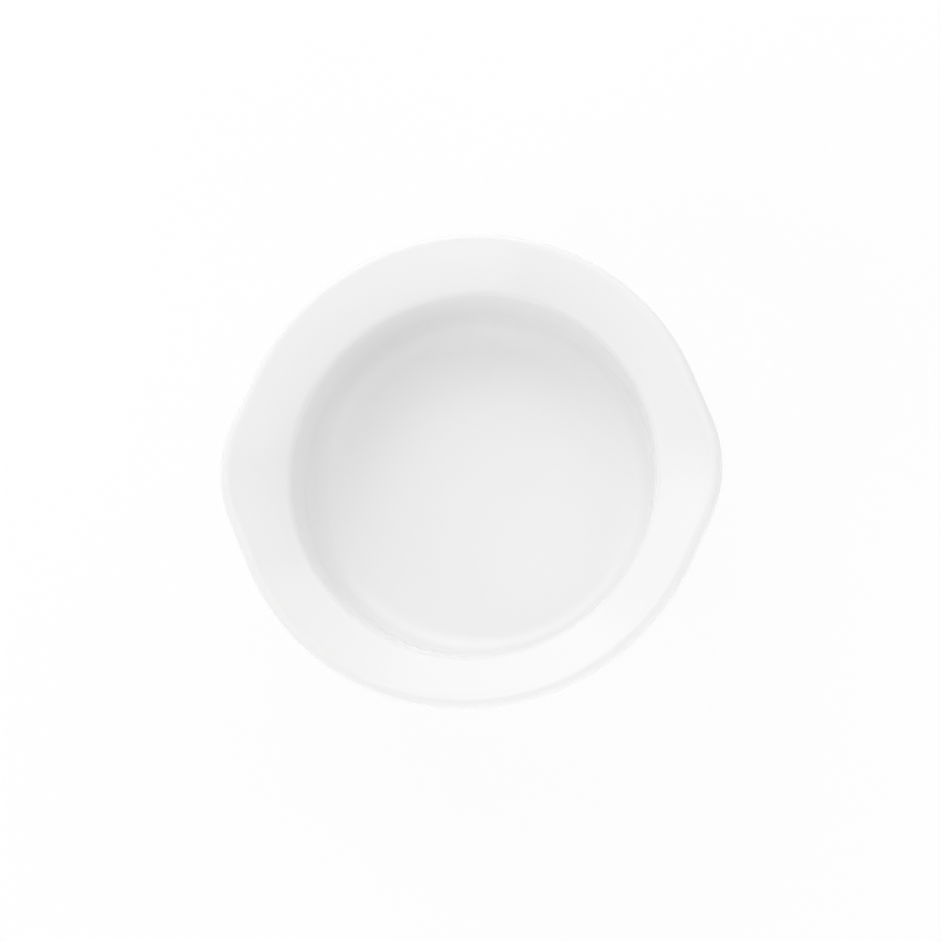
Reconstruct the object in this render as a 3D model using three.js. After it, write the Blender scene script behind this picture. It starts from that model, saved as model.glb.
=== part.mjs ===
import * as THREE from 'three';

// Round porcelain baking dish with two drawn-out ears, in millimetres, +Z up, ears along X.
// The foot stands on z = 0 and the axis of the dish is the Z axis.

// Plan
const WELL_DIAMETER = 138.5;     // the lines of floor and wall meet on this circle
const RIM_WIDTH = 22.4;          // mouth to the outside of the lip, where the rim is round
const EAR = 4.1;                 // how far an ear reaches past the round rim
const EAR_TIP_ROUND = 50.5;      // radius of the blunt tip of an ear

// Section of the finished, glazed dish
const HEIGHT = 50;               // foot to the top of the lip
const LIP = 5.6;                 // thickness of the rim, which ends in a full-round lip
const RIM_SLOPE = 32;            // degrees by which the rim climbs outwards
const WALL_LEAN = 8;             // degrees by which the wall leans outwards
const WALL = 5.5;                // wall thickness
const FLOOR = 5.5;               // floor thickness over the recess inside the foot
const FLOOR_ROUND = 11;          // inside, floor to wall
const MOUTH_ROUND = 5;           // inside, wall to rim
const UNDER_ROUND = 9;           // outside, wall to underside of the rim
const BASE_ROUND = 15;           // outside, wall to base

// Foot ring and glaze
const FOOT_WIDTH = 5;
const FOOT_HEIGHT = 2.4;
const FOOT_ROUND = 0.9;
const FOOT_SETBACK = 0.8;        // flat ledge between the round of the base and the foot
const GLAZE = 0.3;               // thickness of both coats

const SEGMENTS = 60;             // facets round the dish

const radians = THREE.MathUtils.degToRad;
const point = (r, z) => new THREE.Vector2(r, z);

// Unit vector that climbs outwards by the given angle.
const heading = (degrees) => point(1, 0).rotateAround(point(0, 0), radians(degrees));

// Unit vector to the left of another.
const leftOf = (u) => point(-u.y, u.x);

// Where the line through a along u meets the line through b along v.
function meet(a, u, b, v) {
  const reach = b.clone().sub(a).cross(v) / u.cross(v);
  return a.clone().addScaledVector(u, reach);
}

// Turns every corner that has a radius into an arc tangent to both of its edges. Each point that comes out
// carries the outward normal of the surface, which lies on the left of the direction of travel.
function roundCorners(corners) {
  const along = (i) => corners[i + 1].at.clone().sub(corners[i].at).normalize();
  return corners.flatMap(({ at, round, steps, line }, i) => {
    const before = along(Math.max(i - 1, 0));
    const normal = leftOf(before);
    if (!round) {
      return [{ at, normal, line }];
    }
    const after = along(i);
    const turn = Math.atan2(before.cross(after), before.dot(after));
    const radius = Math.sign(turn) * round;
    const start = at.clone().addScaledVector(before, -radius * Math.tan(turn / 2));
    const centre = start.clone().addScaledVector(normal, radius);
    return Array.from({ length: steps + 1 }, (_, k) => {
      const facing = normal.clone().rotateAround(point(0, 0), (turn * k) / steps);
      return { at: centre.clone().addScaledVector(facing, -radius), normal: facing };
    });
  });
}

// Section lines. The mouth lies on the wall line at the height that brings the lip up to HEIGHT.
const rim = heading(RIM_SLOPE);
const wall = heading(90 - WALL_LEAN);
const across = heading(0);
const floorHeight = FOOT_HEIGHT + FLOOR;
const lipRound = LIP / 2;
const rimRun = (RIM_WIDTH - lipRound * (1 + rim.y)) / rim.x;
const mouthHeight = HEIGHT - rimRun * rim.y - lipRound * (1 - rim.x);
const wellEdge = point(WELL_DIAMETER / 2, floorHeight);
const mouth = meet(wellEdge, wall, point(0, mouthHeight), across);
const lipTop = mouth.clone().addScaledVector(rim, rimRun);
const lipUnder = lipTop.clone().addScaledVector(leftOf(rim), -LIP);
const outerWall = wellEdge.clone().addScaledVector(leftOf(wall), -WALL);
const underRim = meet(outerWall, wall, lipUnder, rim);
const baseEdge = meet(outerWall, wall, point(0, FOOT_HEIGHT), across);
const baseRun = BASE_ROUND * Math.tan(radians(90 - WALL_LEAN) / 2);
const footOuter = baseEdge.x - baseRun - FOOT_SETBACK - FOOT_ROUND;
const footInner = footOuter - FOOT_WIDTH;

// Finished surface, from the middle of the floor over the lip and down the outside to the middle of the base
const finished = roundCorners([
  { at: point(0, floorHeight) },
  { at: wellEdge, round: FLOOR_ROUND, steps: 6 },
  { at: mouth, round: MOUTH_ROUND, steps: 3 },
  { at: mouth.clone().lerp(lipTop, 0.4) },
  { at: mouth.clone().lerp(lipTop, 0.7) },
  { at: lipTop.clone().addScaledVector(rim, lipRound), round: lipRound, steps: 3 },
  { at: lipUnder.clone().addScaledVector(rim, lipRound), round: lipRound, steps: 3 },
  { at: underRim.clone().lerp(lipUnder, 0.75) },
  { at: underRim, round: UNDER_ROUND, steps: 3 },
  { at: baseEdge, round: BASE_ROUND, steps: 5 },
  { at: point(footOuter, FOOT_HEIGHT), round: FOOT_ROUND, steps: 2 },
  { at: point(footOuter, FOOT_HEIGHT / 2), line: 'outside' },
  { at: point(footOuter, 0), round: FOOT_ROUND, steps: 2 },
  { at: point(footInner, 0), round: FOOT_ROUND, steps: 2 },
  { at: point(footInner, FOOT_HEIGHT / 2), line: 'inside' },
  { at: point(footInner, FOOT_HEIGHT), round: FOOT_ROUND, steps: 2 },
  { at: point(0, FOOT_HEIGHT) },
]);

// The fired clay lies one coat below the finished surface wherever there is glaze. Each coat ends half-way
// up the foot.
const surface = finished.map(({ at }) => at);
const clay = finished.map(({ at, normal }) => at.clone().addScaledVector(normal, -GLAZE));
const mainEnd = finished.findIndex(({ line }) => line === 'outside') + 1;
const baseStart = finished.findIndex(({ line }) => line === 'inside');

// The ears: a tip arc and two straight flanks tangent to it and to the round rim.
const rimRadius = mouth.x + RIM_WIDTH;
const tipCentre = rimRadius + EAR - EAR_TIP_ROUND;
const flank = Math.acos((rimRadius - EAR_TIP_ROUND) / tipCentre);
const tipEnd = Math.atan2(
  EAR_TIP_ROUND * Math.sin(flank),
  tipCentre + EAR_TIP_ROUND * Math.cos(flank),
);

// Distance from the axis to the outline in the direction x, y.
function rimReach(x, y) {
  const angle = Math.atan2(Math.abs(y), Math.abs(x));
  if (angle > flank) {
    return rimRadius;
  }
  if (angle > tipEnd) {
    return rimRadius / Math.cos(flank - angle);
  }
  const off = tipCentre * Math.sin(angle);
  return tipCentre * Math.cos(angle) + Math.sqrt(EAR_TIP_ROUND ** 2 - off ** 2);
}

// Draws the rim of a turned shape out to the ears; inside the mouth nothing moves.
function drawOutEars(shape) {
  const place = shape.attributes.position;
  for (let i = 0; i < place.count; i += 1) {
    const x = place.getX(i);
    const y = place.getY(i);
    const r = Math.hypot(x, y);
    const share = THREE.MathUtils.smoothstep(r, mouth.x, rimRadius - lipRound);
    const scale = share ? 1 + (share * (rimReach(x, y) - rimRadius)) / r : 1;
    place.setXY(i, x * scale, y * scale);
  }
  return shape;
}

// Splits each four-sided facet along its shorter diagonal, so that a coat and the clay share their facets.
function splitFacets(shape) {
  const corner = (i) => new THREE.Vector3().fromBufferAttribute(shape.attributes.position, i);
  const index = shape.index.array;
  for (let i = 0; i < index.length; i += 6) {
    const [a, b, d, c] = index.slice(i, i + 4);
    if (corner(a).distanceTo(corner(c)) < corner(b).distanceTo(corner(d))) {
      index.set([a, b, c, a, c, d], i);
    }
  }
  return shape;
}

// Turns a closed section about the Z axis and draws out its ears.
function turned(name, profile, finish) {
  const shape = new THREE.LatheGeometry(profile.toReversed(), SEGMENTS).rotateX(Math.PI / 2);
  const mesh = new THREE.Mesh(splitFacets(drawOutEars(shape)), new THREE.MeshStandardMaterial(finish));
  mesh.name = name;
  return mesh;
}

const dish = new THREE.Group();
dish.name = 'baking_dish';
dish.add(
  turned('porcelain_body', [
    ...clay.slice(0, mainEnd),
    ...surface.slice(mainEnd - 1, baseStart + 1),
    ...clay.slice(baseStart),
  ], { color: 0xe9e4da, roughness: 0.85, metalness: 0 }),
  turned('main_glaze', [
    ...surface.slice(0, mainEnd),
    ...clay.slice(0, mainEnd).reverse(),
  ], { color: 0xf4f4f2, roughness: 0.12, metalness: 0 }),
  turned('base_glaze', [
    ...clay.slice(baseStart).reverse(),
    ...surface.slice(baseStart),
  ], { color: 0xf4f4f2, roughness: 0.12, metalness: 0 }),
);

export default dish;
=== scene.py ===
"""Round white baking dish of glazed porcelain with two drawn-out ears, seen in a bright studio."""

import logging
import math
from collections.abc import Mapping, Sequence
from dataclasses import dataclass, field
from enum import Enum
from typing import Any

import bpy
from mathutils import Matrix, Vector


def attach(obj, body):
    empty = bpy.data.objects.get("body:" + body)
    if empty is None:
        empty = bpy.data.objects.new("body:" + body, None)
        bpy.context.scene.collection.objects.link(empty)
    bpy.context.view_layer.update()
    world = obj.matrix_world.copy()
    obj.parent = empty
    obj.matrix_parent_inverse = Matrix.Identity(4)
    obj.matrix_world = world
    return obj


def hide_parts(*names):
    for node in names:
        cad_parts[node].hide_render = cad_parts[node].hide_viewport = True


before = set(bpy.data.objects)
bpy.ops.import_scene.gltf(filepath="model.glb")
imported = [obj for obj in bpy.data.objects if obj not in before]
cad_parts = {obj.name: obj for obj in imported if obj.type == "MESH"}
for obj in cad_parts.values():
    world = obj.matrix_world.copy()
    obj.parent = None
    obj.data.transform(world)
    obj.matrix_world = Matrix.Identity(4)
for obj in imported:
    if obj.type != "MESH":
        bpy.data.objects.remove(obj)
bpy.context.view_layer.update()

MILLIMETRE = 0.001  # in metres
NEARLY_NOTHING = 0.001 * MILLIMETRE
PHOTO_WIDTH = 940  # in pixels
REFRACTIVE_INDEX = 1.5
NOISE_MEAN = 0.5
WHITE = (1.0, 1.0, 1.0, 1.0)
Colour = tuple[float, float, float]
log = logging.getLogger("baking_dish")


class PackedNode(Enum):
    """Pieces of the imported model, which the pieces made here stand for."""

    BODY = "porcelain_body"
    MAIN_GLAZE = "main_glaze"
    BASE_GLAZE = "base_glaze"


class Slot(Enum):
    """Material slots."""

    BARE = "bare_porcelain"
    GLAZE = "white_glaze"


# Node trees


class Value:
    """Output of a node that can take part in Python expressions."""

    def __init__(self, work: "NodeWork", socket: bpy.types.NodeSocket) -> None:
        """Wraps a socket.

        Args:
            work: the tree that the socket belongs to.
            socket: the output socket.
        """
        self.work = work
        self.socket = socket

    def __add__(self, other: "Value | float") -> "Value":
        """Sum with a value on the right."""
        return self.work.maths("ADD", self, other)

    def __radd__(self, other: float) -> "Value":
        """Sum with a number on the left."""
        return self.work.maths("ADD", other, self)

    def __sub__(self, other: "Value | float") -> "Value":
        """Difference from a value on the right."""
        return self.work.maths("SUBTRACT", self, other)

    def __rsub__(self, other: float) -> "Value":
        """Difference from a number on the left."""
        return self.work.maths("SUBTRACT", other, self)

    def __mul__(self, other: "Value | float") -> "Value":
        """Product with a value on the right."""
        return self.work.maths("MULTIPLY", self, other)

    def __rmul__(self, other: float) -> "Value":
        """Product with a number on the left."""
        return self.work.maths("MULTIPLY", other, self)

    def __truediv__(self, other: "Value | float") -> "Value":
        """Quotient by a value on the right."""
        return self.work.maths("DIVIDE", self, other)

    def __rtruediv__(self, other: float) -> "Value":
        """Quotient of a number on the left."""
        return self.work.maths("DIVIDE", other, self)

    def other(self, output: str) -> "Value":
        """Another output of the same node."""
        return Value(self.work, self.socket.node.outputs[output])


class NodeWork:
    """One node tree that is being built."""

    def __init__(self, tree: bpy.types.NodeTree) -> None:
        """Starts from an empty tree.

        Args:
            tree: the tree that receives the nodes.
        """
        self.tree = tree
        tree.nodes.clear()

    def add(
        self,
        kind: str,
        settings: Mapping[str, Any] | None = None,
        sockets: Mapping[str | int, Any] | None = None,
        output: str | int = 0,
    ) -> Value | None:
        """Adds a node.

        Args:
            kind: type of the node.
            settings: properties, set before the sockets.
            sockets: values, or links from other nodes, by the input's name or number.
            output: the output that is wanted.

        Returns:
            That output, or None for a node without outputs.
        """
        node = self.tree.nodes.new(kind)
        for name, value in (settings or {}).items():
            setattr(node, name, value)
        for key, value in (sockets or {}).items():
            if isinstance(value, Value):
                self.tree.links.new(value.socket, node.inputs[key])
            else:
                node.inputs[key].default_value = value
        return Value(self, node.outputs[output]) if node.outputs else None

    def maths(self, operation: str, *terms: Value | float) -> Value:
        """Adds a Math node.

        Args:
            operation: what the node works out.
            terms: its operands, in order.

        Returns:
            The result.
        """
        return self.add("ShaderNodeMath", {"operation": operation}, dict(enumerate(terms)))

    def smooth_step(self, value: Value, start: Value | float, end: Value | float) -> Value:
        """Rises smoothly from 0 to 1.

        Args:
            value: what is followed.
            start: where the rise starts.
            end: where it ends.

        Returns:
            The height reached.
        """
        settings = {"interpolation_type": "SMOOTHSTEP"}
        return self.add("ShaderNodeMapRange", settings, {"Value": value, "From Min": start, "From Max": end})

    def mix(self, share: Value | float, first: Value | Colour, second: Value | Colour) -> Value:
        """Mixes two colours.

        Args:
            share: how much of the second there is.
            first: colour at 0.
            second: colour at 1.

        Returns:
            The mixed colour.
        """
        colours = [colour if isinstance(colour, Value) else (*colour, 1.0) for colour in (first, second)]
        # The node's sockets for colours share their names with others, so they go by number
        return self.add("ShaderNodeMix", {"data_type": "RGBA"}, {0: share, 6: colours[0], 7: colours[1]}, 2)


# Section of the dish


def heading(degrees: float) -> Vector:
    """Unit vector in the section that climbs outwards by an angle."""
    return Vector((math.cos(math.radians(degrees)), math.sin(math.radians(degrees))))


def left_of(along: Vector) -> Vector:
    """Vector on the left of another one in the section."""
    return Vector((-along.y, along.x))


def meet(start: Vector, along: Vector, other: Vector, other_along: Vector) -> Vector:
    """Point where two lines of the section meet.

    Args:
        start: a point on the first line.
        along: direction of the first line.
        other: a point on the second line.
        other_along: direction of the second line.

    Returns:
        The point.
    """
    gap = other - start
    return start + along * (gap.cross(other_along) / along.cross(other_along))


@dataclass(frozen=True)
class Corner:
    """Corner of a section, at a distance from the axis and a height, with the radius that rounds it."""

    at: Vector
    rounding: float = 0.0


@dataclass(frozen=True)
class DishSizes:
    """Sizes of the finished dish, in millimetres and degrees, and what follows from them."""

    well_diameter: float = 138.5
    rim_width: float = 22.4
    ear: float = 4.1
    ear_tip_round: float = 50.5
    height: float = 50.0
    lip: float = 5.6
    rim_slope: float = 32.0
    wall_lean: float = 8.0
    wall: float = 5.5
    floor: float = 5.5
    floor_round: float = 11.0
    mouth_round: float = 5.0
    under_round: float = 9.0
    base_round: float = 15.0
    foot_width: float = 5.0
    foot_height: float = 2.4
    foot_round: float = 0.9
    foot_setback: float = 0.8
    glaze: float = 0.3

    @property
    def lip_round(self) -> float:
        """Radius of the full-round lip."""
        return self.lip / 2

    @property
    def floor_height(self) -> float:
        """Height of the floor of the well."""
        return self.foot_height + self.floor

    @property
    def rim_along(self) -> Vector:
        """Direction in which the rim climbs."""
        return heading(self.rim_slope)

    @property
    def rim_run(self) -> float:
        """Length of the sloping rim from the mouth to the start of the lip."""
        return (self.rim_width - self.lip_round * (1 + self.rim_along.y)) / self.rim_along.x

    @property
    def wall_along(self) -> Vector:
        """Direction in which the wall climbs."""
        return heading(90 - self.wall_lean)

    @property
    def well_edge(self) -> Vector:
        """Point where the lines of floor and wall meet."""
        return Vector((self.well_diameter / 2, self.floor_height))

    @property
    def mouth(self) -> Vector:
        """Point where the lines of wall and rim meet."""
        level = self.height - self.rim_run * self.rim_along.y - self.lip_round * (1 - self.rim_along.x)
        return meet(self.well_edge, self.wall_along, Vector((0, level)), heading(0))

    @property
    def rim_radius(self) -> float:
        """Radius of the outline where the rim is round."""
        return self.mouth.x + self.rim_width

    @property
    def outer_wall(self) -> Vector:
        """Point on the line of the outside of the wall."""
        return self.well_edge - left_of(self.wall_along) * self.wall

    @property
    def base_edge(self) -> Vector:
        """Point where the lines of the outside of the wall and the base meet."""
        return meet(self.outer_wall, self.wall_along, Vector((0, self.foot_height)), heading(0))

    @property
    def foot_outer(self) -> float:
        """Outer radius of the foot ring."""
        base_run = self.base_round * math.tan(math.radians(90 - self.wall_lean) / 2)
        return self.base_edge.x - base_run - self.foot_setback - self.foot_round


@dataclass(frozen=True)
class Section:
    """Corners of the glazed surface and of the clay below it.

    The rim has points between its roundings, at equal parts of its run, where it can bend into the ears.
    A support is a point on a straight, at a small gap from a rounding, where the straight has room for it.
    """

    sizes: DishSizes
    rim_parts: int = 12
    upper_parts: range = range(3, 12)
    under_parts: range = range(1, 7)
    support_gap: float = 0.6
    support_room: float = 1.8

    def finished(self) -> tuple[list[Corner], int, int]:
        """Corners of the finished surface.

        Returns:
            The corners from the middle of the floor over the lip to the middle of the base, and the numbers
            of the two corners at which the glaze ends outside and inside the foot.
        """
        sizes = self.sizes
        lip_top = sizes.mouth + sizes.rim_along * sizes.rim_run
        lip_under = lip_top - left_of(sizes.rim_along) * sizes.lip
        under_rim = meet(sizes.outer_wall, sizes.wall_along, lip_under, sizes.rim_along)
        foot_inner = sizes.foot_outer - sizes.foot_width
        outside_line = Corner(Vector((sizes.foot_outer, sizes.foot_height / 2)))
        inside_line = Corner(Vector((foot_inner, sizes.foot_height / 2)))
        corners = [
            Corner(Vector((0, sizes.floor_height))),
            Corner(sizes.well_edge, sizes.floor_round),
            Corner(sizes.mouth, sizes.mouth_round),
            *(Corner(sizes.mouth.lerp(lip_top, part / self.rim_parts)) for part in self.upper_parts),
            Corner(lip_top + sizes.rim_along * sizes.lip_round, sizes.lip_round),
            Corner(lip_under + sizes.rim_along * sizes.lip_round, sizes.lip_round),
            *(Corner(lip_under.lerp(under_rim, part / self.rim_parts)) for part in self.under_parts),
            Corner(under_rim, sizes.under_round),
            Corner(sizes.base_edge, sizes.base_round),
            Corner(Vector((sizes.foot_outer, sizes.foot_height)), sizes.foot_round),
            outside_line,
            Corner(Vector((sizes.foot_outer, 0)), sizes.foot_round),
            Corner(Vector((foot_inner, 0)), sizes.foot_round),
            inside_line,
            Corner(Vector((foot_inner, sizes.foot_height)), sizes.foot_round),
            Corner(Vector((0, sizes.foot_height))),
        ]
        return corners, corners.index(outside_line), corners.index(inside_line)

    def lowered(self, corners: Sequence[Corner]) -> list[Corner]:
        """Moves a surface inwards by the thickness of the glaze.

        Args:
            corners: corners of the surface, which faces left.

        Returns:
            The corners of the clay.
        """
        points = [corner.at for corner in corners]
        facing = [left_of((end - start).normalized()) for start, end in zip(points, points[1:])]
        result = []
        for number, corner in enumerate(corners):
            before = facing[max(number - 1, 0)]
            after = facing[min(number, len(facing) - 1)]
            turn = before.cross(after)
            rounding = corner.rounding and corner.rounding + math.copysign(self.sizes.glaze, turn)
            inwards = (before + after) / (1 + before.dot(after))
            result.append(Corner(corner.at - inwards * self.sizes.glaze, rounding))
        return result

    def supported(self, corners: Sequence[Corner]) -> list[Corner]:
        """Adds the supports, so that flats stay flat when shaded.

        Args:
            corners: corners of a section.

        Returns:
            The corners with the new points between them.
        """
        reach = [0.0] * len(corners)
        for number, (before, corner, after) in enumerate(zip(corners, corners[1:], corners[2:]), start=1):
            turn = (corner.at - before.at).angle(after.at - corner.at)
            reach[number] = corner.rounding * math.tan(turn / 2)
        result = []
        for number, (start, end) in enumerate(zip(corners, corners[1:])):
            run = end.at - start.at
            along = run.normalized()
            room = run.length - reach[number] - reach[number + 1]
            result.append(start)
            if start.rounding and room > self.support_room:
                result.append(Corner(start.at + along * (reach[number] + self.support_gap)))
            if end.rounding and room > self.support_room:
                result.append(Corner(end.at - along * (reach[number + 1] + self.support_gap)))
        return [*result, corners[-1]]


# Turning a section


@dataclass(frozen=True)
class Turning:
    """Turns a section about the upright axis and draws its rim out to the two ears."""

    sizes: DishSizes
    arc_points: int = 10
    segments: int = 192

    def outline(self, work: NodeWork, x: Value, y: Value, rim: Value, ear: Value, tip: Value) -> Value:
        """Distance from the axis to the outline, with a tip arc and two straight flanks at each ear.

        Args:
            work: the tree.
            x: place along the ears.
            y: place across them.
            rim: radius of the round rim.
            ear: how far an ear reaches past it.
            tip: radius of the tip of an ear.

        Returns:
            The distance in the direction of x and y.
        """
        angle = work.maths("ARCTAN2", work.maths("ABSOLUTE", y), work.maths("ABSOLUTE", x))
        tip_centre = rim + ear - tip
        flank = work.maths("ARCCOSINE", (rim - tip) / tip_centre)
        tip_end = work.maths(
            "ARCTAN2",
            tip * work.maths("SINE", flank),
            tip_centre + tip * work.maths("COSINE", flank),
        )
        straight = rim / work.maths("COSINE", flank - angle)
        off = tip_centre * work.maths("SINE", angle)
        inside = work.maths("MAXIMUM", tip * tip - off * off, 0.0)
        arc = tip_centre * work.maths("COSINE", angle) + work.maths("SQRT", inside)
        past_tip = work.maths("GREATER_THAN", angle, tip_end)
        past_flank = work.maths("GREATER_THAN", angle, flank)
        ear_outline = arc + past_tip * (straight - arc)
        return ear_outline + past_flank * (rim - ear_outline)

    def tree(self) -> bpy.types.NodeTree:
        """Builds the Geometry Nodes tree.

        Returns:
            The tree, with the sizes as named inputs.
        """
        tree = bpy.data.node_groups.new("turn_section", "GeometryNodeTree")
        for name, kind in {
            "Section": "NodeSocketGeometry",
            "Segments": "NodeSocketInt",
            "Arc Points": "NodeSocketInt",
            "Mouth Radius": "NodeSocketFloat",
            "Rim Radius": "NodeSocketFloat",
            "Lip Round": "NodeSocketFloat",
            "Ear": "NodeSocketFloat",
            "Ear Tip Round": "NodeSocketFloat",
            "Finish": "NodeSocketMaterial",
        }.items():
            tree.interface.new_socket(name, in_out="INPUT", socket_type=kind)
        tree.interface.new_socket("Solid", in_out="OUTPUT", socket_type="NodeSocketGeometry")
        work = NodeWork(tree)
        given = work.add("NodeGroupInput")

        # The section as a curve with its corners rounded, turned round the axis
        rounding = work.add("GeometryNodeInputNamedAttribute", {"data_type": "FLOAT"}, {"Name": "rounding"})
        curve = work.add("GeometryNodeMeshToCurve", None, {"Mesh": given.other("Section")})
        curve = work.add(
            "GeometryNodeFilletCurve",
            {"mode": "POLY"},
            {"Curve": curve, "Count": given.other("Arc Points"), "Radius": rounding},
        )
        rim = given.other("Rim Radius")
        from_path = work.add("ShaderNodeCombineXYZ", None, {"X": 0.0 - rim})
        curve = work.add("GeometryNodeTransform", None, {"Geometry": curve, "Translation": from_path})
        path = work.add(
            "GeometryNodeCurvePrimitiveCircle",
            None,
            {"Resolution": given.other("Segments"), "Radius": rim},
        )
        path = work.add("GeometryNodeSetCurveNormal", {"mode": "Z_UP"}, {"Curve": path})
        solid = work.add("GeometryNodeCurveToMesh", None, {"Curve": path, "Profile Curve": curve})
        solid = work.add(
            "GeometryNodeMergeByDistance",
            None,
            {"Geometry": solid, "Distance": NEARLY_NOTHING},
        )

        # The rim drawn out to the ears
        place = work.add("GeometryNodeInputPosition")
        x = work.add("ShaderNodeSeparateXYZ", None, {"Vector": place}, "X")
        y = x.other("Y")
        radius = work.maths("SQRT", x * x + y * y)
        share = work.smooth_step(radius, given.other("Mouth Radius"), rim - given.other("Lip Round"))
        outline = self.outline(work, x, y, rim, given.other("Ear"), given.other("Ear Tip Round"))
        pull = share * (outline - rim) / work.maths("MAXIMUM", radius, NEARLY_NOTHING)
        offset = work.add("ShaderNodeCombineXYZ", None, {"X": x * pull, "Y": y * pull})
        solid = work.add("GeometryNodeSetPosition", None, {"Geometry": solid, "Offset": offset})

        # Smooth shading and the finish
        solid = work.add("GeometryNodeSetShadeSmooth", None, {"Geometry": solid})
        solid = work.add("GeometryNodeRealizeInstances", None, {"Geometry": solid})
        solid = work.add(
            "GeometryNodeSetMaterial",
            None,
            {"Geometry": solid, "Material": given.other("Finish")},
        )
        work.add("NodeGroupOutput", None, {"Solid": solid})
        return tree

    def turn(
        self,
        tree: bpy.types.NodeTree,
        name: str,
        corners: Sequence[Corner],
        finish: bpy.types.Material,
    ) -> bpy.types.Object:
        """Makes a solid from its section.

        Args:
            tree: the Geometry Nodes tree.
            name: name of the piece.
            corners: the section, from axis to axis.
            finish: material of the piece.

        Returns:
            The finished object, a plain mesh in its place.
        """
        mesh = bpy.data.meshes.new(name)
        points = [corner.at * MILLIMETRE for corner in corners]
        edges = [(number, number + 1) for number in range(len(points) - 1)]
        # A profile is swept with its Y axis pointing down, so heights are negative in it
        mesh.from_pydata([(point.x, -point.y, 0.0) for point in points], edges, [])
        roundings = mesh.attributes.new("rounding", "FLOAT", "POINT")
        roundings.data.foreach_set("value", [corner.rounding * MILLIMETRE for corner in corners])
        piece = bpy.data.objects.new(name, mesh)
        bpy.context.scene.collection.objects.link(piece)
        modifier = piece.modifiers.new("turn", "NODES")
        modifier.node_group = tree
        inputs = {
            "Segments": self.segments,
            "Arc Points": self.arc_points,
            "Mouth Radius": self.sizes.mouth.x * MILLIMETRE,
            "Rim Radius": self.sizes.rim_radius * MILLIMETRE,
            "Lip Round": self.sizes.lip_round * MILLIMETRE,
            "Ear": self.sizes.ear * MILLIMETRE,
            "Ear Tip Round": self.sizes.ear_tip_round * MILLIMETRE,
            "Finish": finish,
        }
        for socket in tree.interface.items_tree:
            if socket.name in inputs:
                modifier[socket.identifier] = inputs[socket.name]
        depsgraph = bpy.context.evaluated_depsgraph_get()
        solid = bpy.data.meshes.new_from_object(piece.evaluated_get(depsgraph), depsgraph=depsgraph)
        piece.modifiers.clear()
        piece.data = solid
        bpy.data.meshes.remove(mesh)
        solid.name = name
        return piece


# Finishes


@dataclass(frozen=True)
class Patches:
    """Noise in a finish, with its patches per metre and the number of finer layers in it."""

    scale: float
    detail: float


class FinishWork(NodeWork):
    """Node tree of a finish of the dish."""

    def __init__(self, name: str) -> None:
        """Starts a material, with the place and the height on the dish as values.

        Args:
            name: name of the material.
        """
        self.material = bpy.data.materials.new(name)
        self.material.use_nodes = True
        super().__init__(self.material.node_tree)
        self.place = self.add("ShaderNodeTexCoord", output="Object")
        self.height = self.add("ShaderNodeSeparateXYZ", None, {"Vector": self.place}, "Z") / MILLIMETRE

    def noise(self, patches: Patches) -> Value:
        """Noise fixed to the dish, from 0 to 1."""
        sockets = {"Vector": self.place, "Scale": patches.scale, "Detail": patches.detail}
        return self.add("ShaderNodeTexNoise", None, sockets)

    def close(
        self, colour: Value, roughness: Value, relief: Value, strength: float, depth: float
    ) -> bpy.types.Material:
        """Ends the material in a surface.

        Args:
            colour: colour of the surface.
            roughness: roughness of the surface.
            relief: height of its bumps, from 0 to 1.
            strength: how much the bumps show.
            depth: depth of the bumps, in millimetres.

        Returns:
            The material.
        """
        bump = self.add(
            "ShaderNodeBump",
            None,
            {"Strength": strength, "Distance": depth * MILLIMETRE, "Height": relief},
        )
        surface = self.add(
            "ShaderNodeBsdfPrincipled",
            None,
            {"Base Color": colour, "Roughness": roughness, "IOR": REFRACTIVE_INDEX, "Normal": bump},
        )
        self.add("ShaderNodeOutputMaterial", None, {"Surface": surface})
        return self.material


@dataclass(frozen=True)
class GlazeFinish:
    """Clear glossy glaze on white porcelain, a little cooler where it pools and warmer where it is thin.

    Above the floor of the well the pool grows up to its rise and thins out from its fade, in millimetres.
    """

    colour: Colour = (0.87, 0.87, 0.87)
    pooled: Colour = (0.868, 0.866, 0.873)
    pooled_share: float = 0.5
    pool_rise: float = 2.0
    pool_fade: float = 5.0
    thin: Colour = (0.863, 0.861, 0.858)
    thin_share: float = 0.4
    roughness: float = 0.16
    clouds: Patches = Patches(22.0, 3.0)
    cloud_roughness: float = 0.05
    specks: Patches = Patches(260.0, 1.0)
    speck_roughness: float = 0.02
    ripples: Patches = Patches(140.0, 1.0)
    ripple_strength: float = 0.04
    ripple_depth: float = 0.2

    def material(self, sizes: DishSizes) -> bpy.types.Material:
        """Builds the material.

        Args:
            sizes: sizes of the dish, which say where glaze pools and where it runs thin.

        Returns:
            The material.
        """
        work = FinishWork("porcelain_glaze")
        cloud = work.noise(self.clouds)
        speck = work.noise(self.specks)
        floor = sizes.floor_height
        pool_top = floor + 2 * sizes.floor_round
        low = work.smooth_step(work.height, floor, floor + self.pool_rise)
        low = low * (1.0 - work.smooth_step(work.height, floor + self.pool_fade, pool_top))
        high = work.smooth_step(work.height, sizes.height - sizes.lip_round, sizes.height)
        colour = work.mix(low * (self.pooled_share + cloud), self.colour, self.pooled)
        colour = work.mix(high * (self.thin_share + cloud), colour, self.thin)
        roughness = self.roughness + self.cloud_roughness * (cloud - NOISE_MEAN)
        roughness = roughness + self.speck_roughness * (speck - NOISE_MEAN)
        ripple = work.noise(self.ripples)
        return work.close(colour, roughness, ripple, self.ripple_strength, self.ripple_depth)


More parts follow.
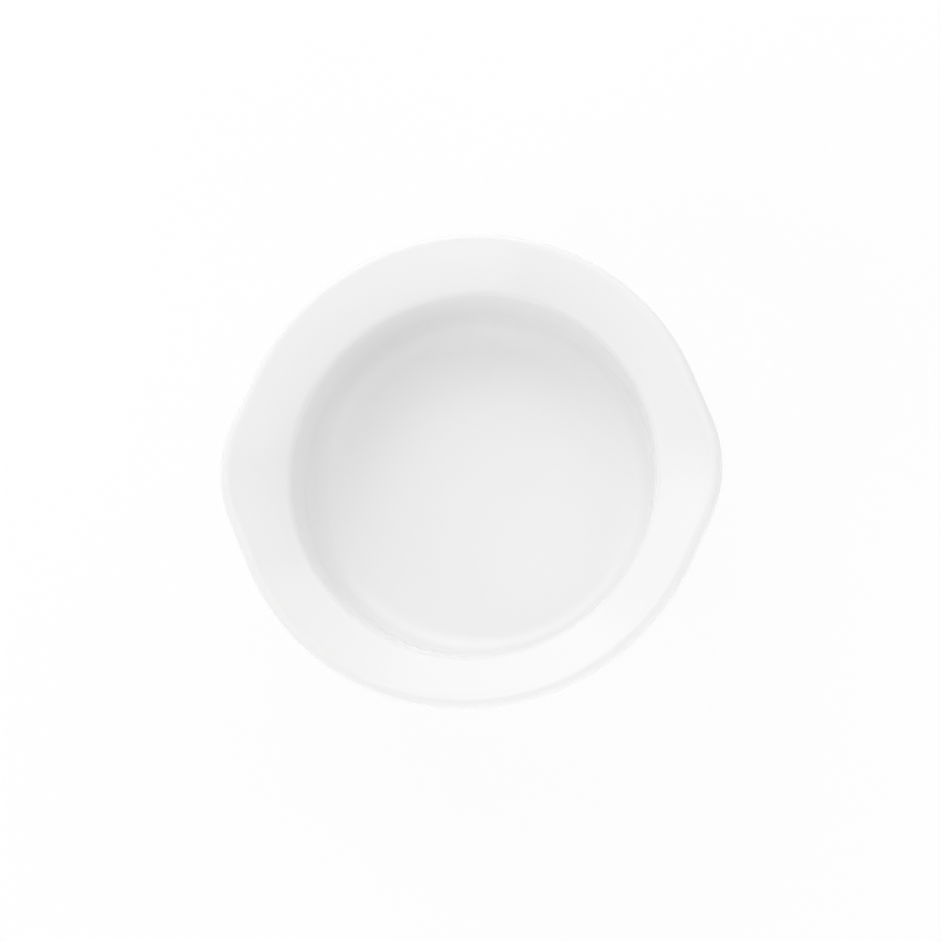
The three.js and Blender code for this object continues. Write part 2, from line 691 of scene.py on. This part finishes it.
@dataclass(frozen=True)
class BareFinish:
    """Unglazed porcelain, matt and a little warm, greyed where the foot has been set down.

    Speckle and wear grow between two limits of their noise.
    """

    colour: Colour = (0.79, 0.765, 0.72)
    speckled: Colour = (0.74, 0.71, 0.66)
    speckle_limits: tuple[float, float] = (0.45, 0.75)
    worn: Colour = (0.62, 0.605, 0.585)
    wear_limits: tuple[float, float] = (0.45, 0.7)
    wear_marks: Patches = Patches(90.0, 3.0)
    roughness: float = 0.78
    polish: float = 0.12
    grains: Patches = Patches(1600.0, 3.0)
    grain_roughness: float = 0.2
    grain_strength: float = 0.25
    grain_depth: float = 0.08

    def material(self, sizes: DishSizes) -> bpy.types.Material:
        """Builds the material.

        Args:
            sizes: sizes of the dish, which say where it stands.

        Returns:
            The material.
        """
        work = FinishWork("unglazed_porcelain")
        grain = work.noise(self.grains)
        wear = work.noise(self.wear_marks)
        tread = 1.0 - work.smooth_step(work.height, 0.0, sizes.foot_round / 2)
        colour = work.mix(work.smooth_step(grain, *self.speckle_limits), self.colour, self.speckled)
        colour = work.mix(tread * work.smooth_step(wear, *self.wear_limits), colour, self.worn)
        roughness = self.roughness + self.grain_roughness * (grain - NOISE_MEAN) - self.polish * tread * wear
        return work.close(colour, roughness, grain, self.grain_strength, self.grain_depth)


# Pieces of the dish


@dataclass(frozen=True)
class Dish:
    """The porcelain body and the two coats of glaze fused to it."""

    sizes: DishSizes
    glaze: GlazeFinish = field(default_factory=GlazeFinish)
    bare: BareFinish = field(default_factory=BareFinish)
    glaze_edge_round: float = 0.2

    def sections(self) -> dict[PackedNode, list[Corner]]:
        """Sections of the three pieces, each from axis to axis and facing left.

        Returns:
            The corners of each piece.
        """
        section = Section(self.sizes)
        surface, outside, inside = section.finished()
        clay = section.lowered(surface)
        body = [*clay[: outside + 1], *surface[outside : inside + 1], *clay[inside:]]
        main_end = Corner(surface[outside].at, self.glaze_edge_round)
        base_end = Corner(surface[inside].at, self.glaze_edge_round)
        main = [*surface[:outside], main_end, *reversed(clay[: outside + 1])]
        base = [*reversed(clay[inside:]), base_end, *surface[inside + 1 :]]
        pieces = {PackedNode.BODY: body, PackedNode.MAIN_GLAZE: main, PackedNode.BASE_GLAZE: base}
        return {node: section.supported(corners) for node, corners in pieces.items()}

    def build(self) -> list[bpy.types.Object]:
        """Makes the pieces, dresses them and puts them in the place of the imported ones.

        Returns:
            The pieces.
        """
        turning = Turning(self.sizes)
        tree = turning.tree()
        glaze = self.glaze.material(self.sizes)
        bare = self.bare.material(self.sizes)
        dress = {
            PackedNode.BODY: ("fired_body", bare, Slot.BARE),
            PackedNode.MAIN_GLAZE: ("glaze_coat", glaze, Slot.GLAZE),
            PackedNode.BASE_GLAZE: ("glaze_under_base", glaze, Slot.GLAZE),
        }
        pieces = []
        for node, corners in self.sections().items():
            name, finish, slot = dress[node]
            piece = turning.turn(tree, name, corners, finish)
            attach(piece, "root")
            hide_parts(node.value)
            pieces.append(piece)
        return pieces


# Studio


def direction(azimuth: float, elevation: float) -> Vector:
    """Unit vector out from the dish.

    Args:
        azimuth: degrees from the front, which is -Y, round by the right.
        elevation: degrees above the floor.

    Returns:
        The vector.
    """
    turn = math.radians(azimuth)
    rise = math.radians(elevation)
    return Vector((math.sin(turn) * math.cos(rise), -math.cos(turn) * math.cos(rise), math.sin(rise)))


@dataclass(frozen=True)
class Softbox:
    """Flat lamp that faces the dish, with its size in metres; a brightness of 1 is white."""

    name: str
    azimuth: float
    elevation: float
    brightness: float
    width: float = 1.0
    height: float = 1.0
    distance: float = 1.5
    mirrored: bool = False

    def build(self) -> bpy.types.Object:
        """Hangs the lamp.

        Returns:
            The lamp.
        """
        lamp = bpy.data.lights.new(self.name, "AREA")
        lamp.shape = "RECTANGLE"
        lamp.size = self.width
        lamp.size_y = self.height
        lamp.energy = self.brightness * math.pi * self.width * self.height
        away = direction(self.azimuth, self.elevation)
        stand = bpy.data.objects.new(self.name, lamp)
        stand.location = away * self.distance
        stand.rotation_euler = away.to_track_quat("Z", "Y").to_euler()
        stand.visible_glossy = self.mirrored
        bpy.context.scene.collection.objects.link(stand)
        return stand


@dataclass(frozen=True)
class Window(Softbox):
    """Softbox as large as a window, which the glaze mirrors."""

    width: float = 2.4
    height: float = 2.4
    mirrored: bool = True


@dataclass(frozen=True)
class Studio:
    """White floor and surroundings, and soft lamps.

    Sizes are in metres, but the drop of the floor below the foot and the inset of its glow from the edge of
    the foot are in millimetres.
    """

    sizes: DishSizes
    lamps: tuple[Softbox, ...] = (
        Window("window_back", 180.0, 20.0, 0.593),
        Window("window_front", 30.0, 40.0, 0.72),
        Window("window_high", 210.0, 60.0, 0.553),
        Softbox("key_back_left", 210.0, 28.0, 1.694),
        Softbox("fill_front_left", 300.0, 28.0, 1.381),
        Softbox("low_fill_front_left", 300.0, 15.0, 1.3),
        Softbox("fill_back_right", 120.0, 28.0, 1.257),
        Softbox("low_front_strip", 30.0, 5.0, 9.258, height=0.2),
    )
    ambient: float = 0.181
    floor_colour: Colour = (0.93, 0.93, 0.93)
    floor_size: float = 8.0
    floor_drop: float = 0.3
    glow_inset: float = 0.3
    shadow_strength: float = 0.14
    shadow_reach: tuple[float, float] = (0.15, 0.6)

    def seen(self, work: NodeWork) -> Value:
        """Rays to which floor and surroundings look white: those seen directly, mirrored or through glass.

        Args:
            work: the tree.

        Returns:
            1 for such rays and 0 for the rest.
        """
        camera = work.add("ShaderNodeLightPath", output="Is Camera Ray")
        mirrored = work.maths("MAXIMUM", camera.other("Is Glossy Ray"), camera.other("Is Transmission Ray"))
        return work.maths("MAXIMUM", camera, mirrored)

    def surroundings(self) -> None:
        """Makes the world: white where it shows, and a soft even light."""
        world = bpy.data.worlds.new("surroundings")
        world.use_nodes = True
        work = NodeWork(world.node_tree)
        light = work.add("ShaderNodeBackground", None, {"Color": WHITE, "Strength": self.ambient})
        white = work.add("ShaderNodeBackground", None, {"Color": WHITE, "Strength": 1.0})
        shown = work.add("ShaderNodeMixShader", None, {0: self.seen(work), 1: light, 2: white})
        work.add("ShaderNodeOutputWorld", None, {"Surface": shown})
        bpy.context.scene.world = world

    def paper(self) -> bpy.types.Material:
        """Builds the finish of the floor.

        The floor is white, keeps the shadow of the dish and is clear from below. Inside the foot, where only
        the base sees it, it shines, so that the base is lit from below.

        Returns:
            The material.
        """
        material = bpy.data.materials.new("studio_floor")
        material.use_nodes = True
        work = NodeWork(material.node_tree)
        paper = work.add("ShaderNodeBsdfDiffuse", None, {"Color": (*self.floor_colour, 1.0)})
        glow = work.add("ShaderNodeEmission", None, {"Color": WHITE, "Strength": 1.0})
        place = work.add("ShaderNodeTexCoord", output="Object")
        away = work.add("ShaderNodeVectorMath", {"operation": "LENGTH"}, {0: place}, "Value")
        glow_radius = (self.sizes.foot_outer - self.glow_inset) * MILLIMETRE
        inside_foot = work.maths("LESS_THAN", away, glow_radius)
        shaded = self.shadow_strength * (1.0 - work.smooth_step(away, *self.shadow_reach))
        white = work.maths("MAXIMUM", self.seen(work) * (1.0 - shaded), inside_foot)
        top = work.add("ShaderNodeMixShader", None, {0: white, 1: paper, 2: glow})
        clear = work.add("ShaderNodeBsdfTransparent")
        below = work.add("ShaderNodeNewGeometry", output="Backfacing")
        surface = work.add("ShaderNodeMixShader", None, {0: below, 1: top, 2: clear})
        work.add("ShaderNodeOutputMaterial", None, {"Surface": surface})
        return material

    def floor(self) -> bpy.types.Object:
        """Lays the floor, a hair below the foot.

        Returns:
            The floor.
        """
        half = self.floor_size / 2
        level = -self.floor_drop * MILLIMETRE
        corners = [(-half, -half, level), (half, -half, level), (half, half, level), (-half, half, level)]
        mesh = bpy.data.meshes.new("studio_floor")
        mesh.from_pydata(corners, [], [(0, 1, 2, 3)])
        mesh.materials.append(self.paper())
        floor = bpy.data.objects.new("studio_floor", mesh)
        bpy.context.scene.collection.objects.link(floor)
        return floor

    def build(self) -> None:
        """Makes floor, surroundings and lamps."""
        bpy.context.scene.view_settings.view_transform = "Standard"
        self.surroundings()
        self.floor()
        for lamp in self.lamps:
            lamp.build()
            log.info("lamp %s at azimuth %.0f, elevation %.0f", lamp.name, lamp.azimuth, lamp.elevation)


@dataclass(frozen=True)
class PhotoCamera:
    """Camera with a long lens, almost straight above the dish, with the ears level in the picture.

    Its distance, the point that it aims at and how far it stands to the right and up are in metres.
    """

    azimuth: float = 35.0
    elevation: float = 76.0
    roll: float = 0.2
    distance: float = 1.5
    aim: tuple[float, float, float] = (0.0, 0.0, 0.05)
    offset: tuple[float, float] = (0.00066, -0.00112)
    pixels_per_millimetre: float = 2.5374
    sensor: float = 36.0

    def build(self) -> bpy.types.Object:
        """Sets the camera up.

        Returns:
            The camera.
        """
        back = direction(self.azimuth, self.elevation)
        right = (Vector((1.0, 0.0, 0.0)) - back * back.x).normalized()
        right.rotate(Matrix.Rotation(-math.radians(self.roll), 3, back))
        up = back.cross(right)
        lens = bpy.data.cameras.new("photo_camera")
        lens.sensor_fit = "HORIZONTAL"
        lens.sensor_width = self.sensor
        lens.lens = self.sensor * self.distance * self.pixels_per_millimetre / (PHOTO_WIDTH * MILLIMETRE)
        camera = bpy.data.objects.new("photo_camera", lens)
        camera.rotation_mode = "QUATERNION"
        camera.rotation_quaternion = Matrix((right, up, back)).transposed().to_quaternion()
        camera.location = Vector(self.aim) + back * self.distance
        camera.location += right * self.offset[0] + up * self.offset[1]
        bpy.context.scene.collection.objects.link(camera)
        bpy.context.scene.camera = camera
        return camera


def write_sizes() -> None:
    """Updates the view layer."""
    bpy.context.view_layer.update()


def main() -> None:
    """Builds the dish and its studio."""
    logging.basicConfig(level=logging.INFO, format="%(name)s: %(message)s")
    sizes = DishSizes()
    PhotoCamera().build()
    Studio(sizes).build()
    for piece in Dish(sizes).build():
        log.info("%s: %d faces of %s", piece.name, len(piece.data.polygons), piece.active_material.name)
    write_sizes()


if __name__ == "__main__":
    main()
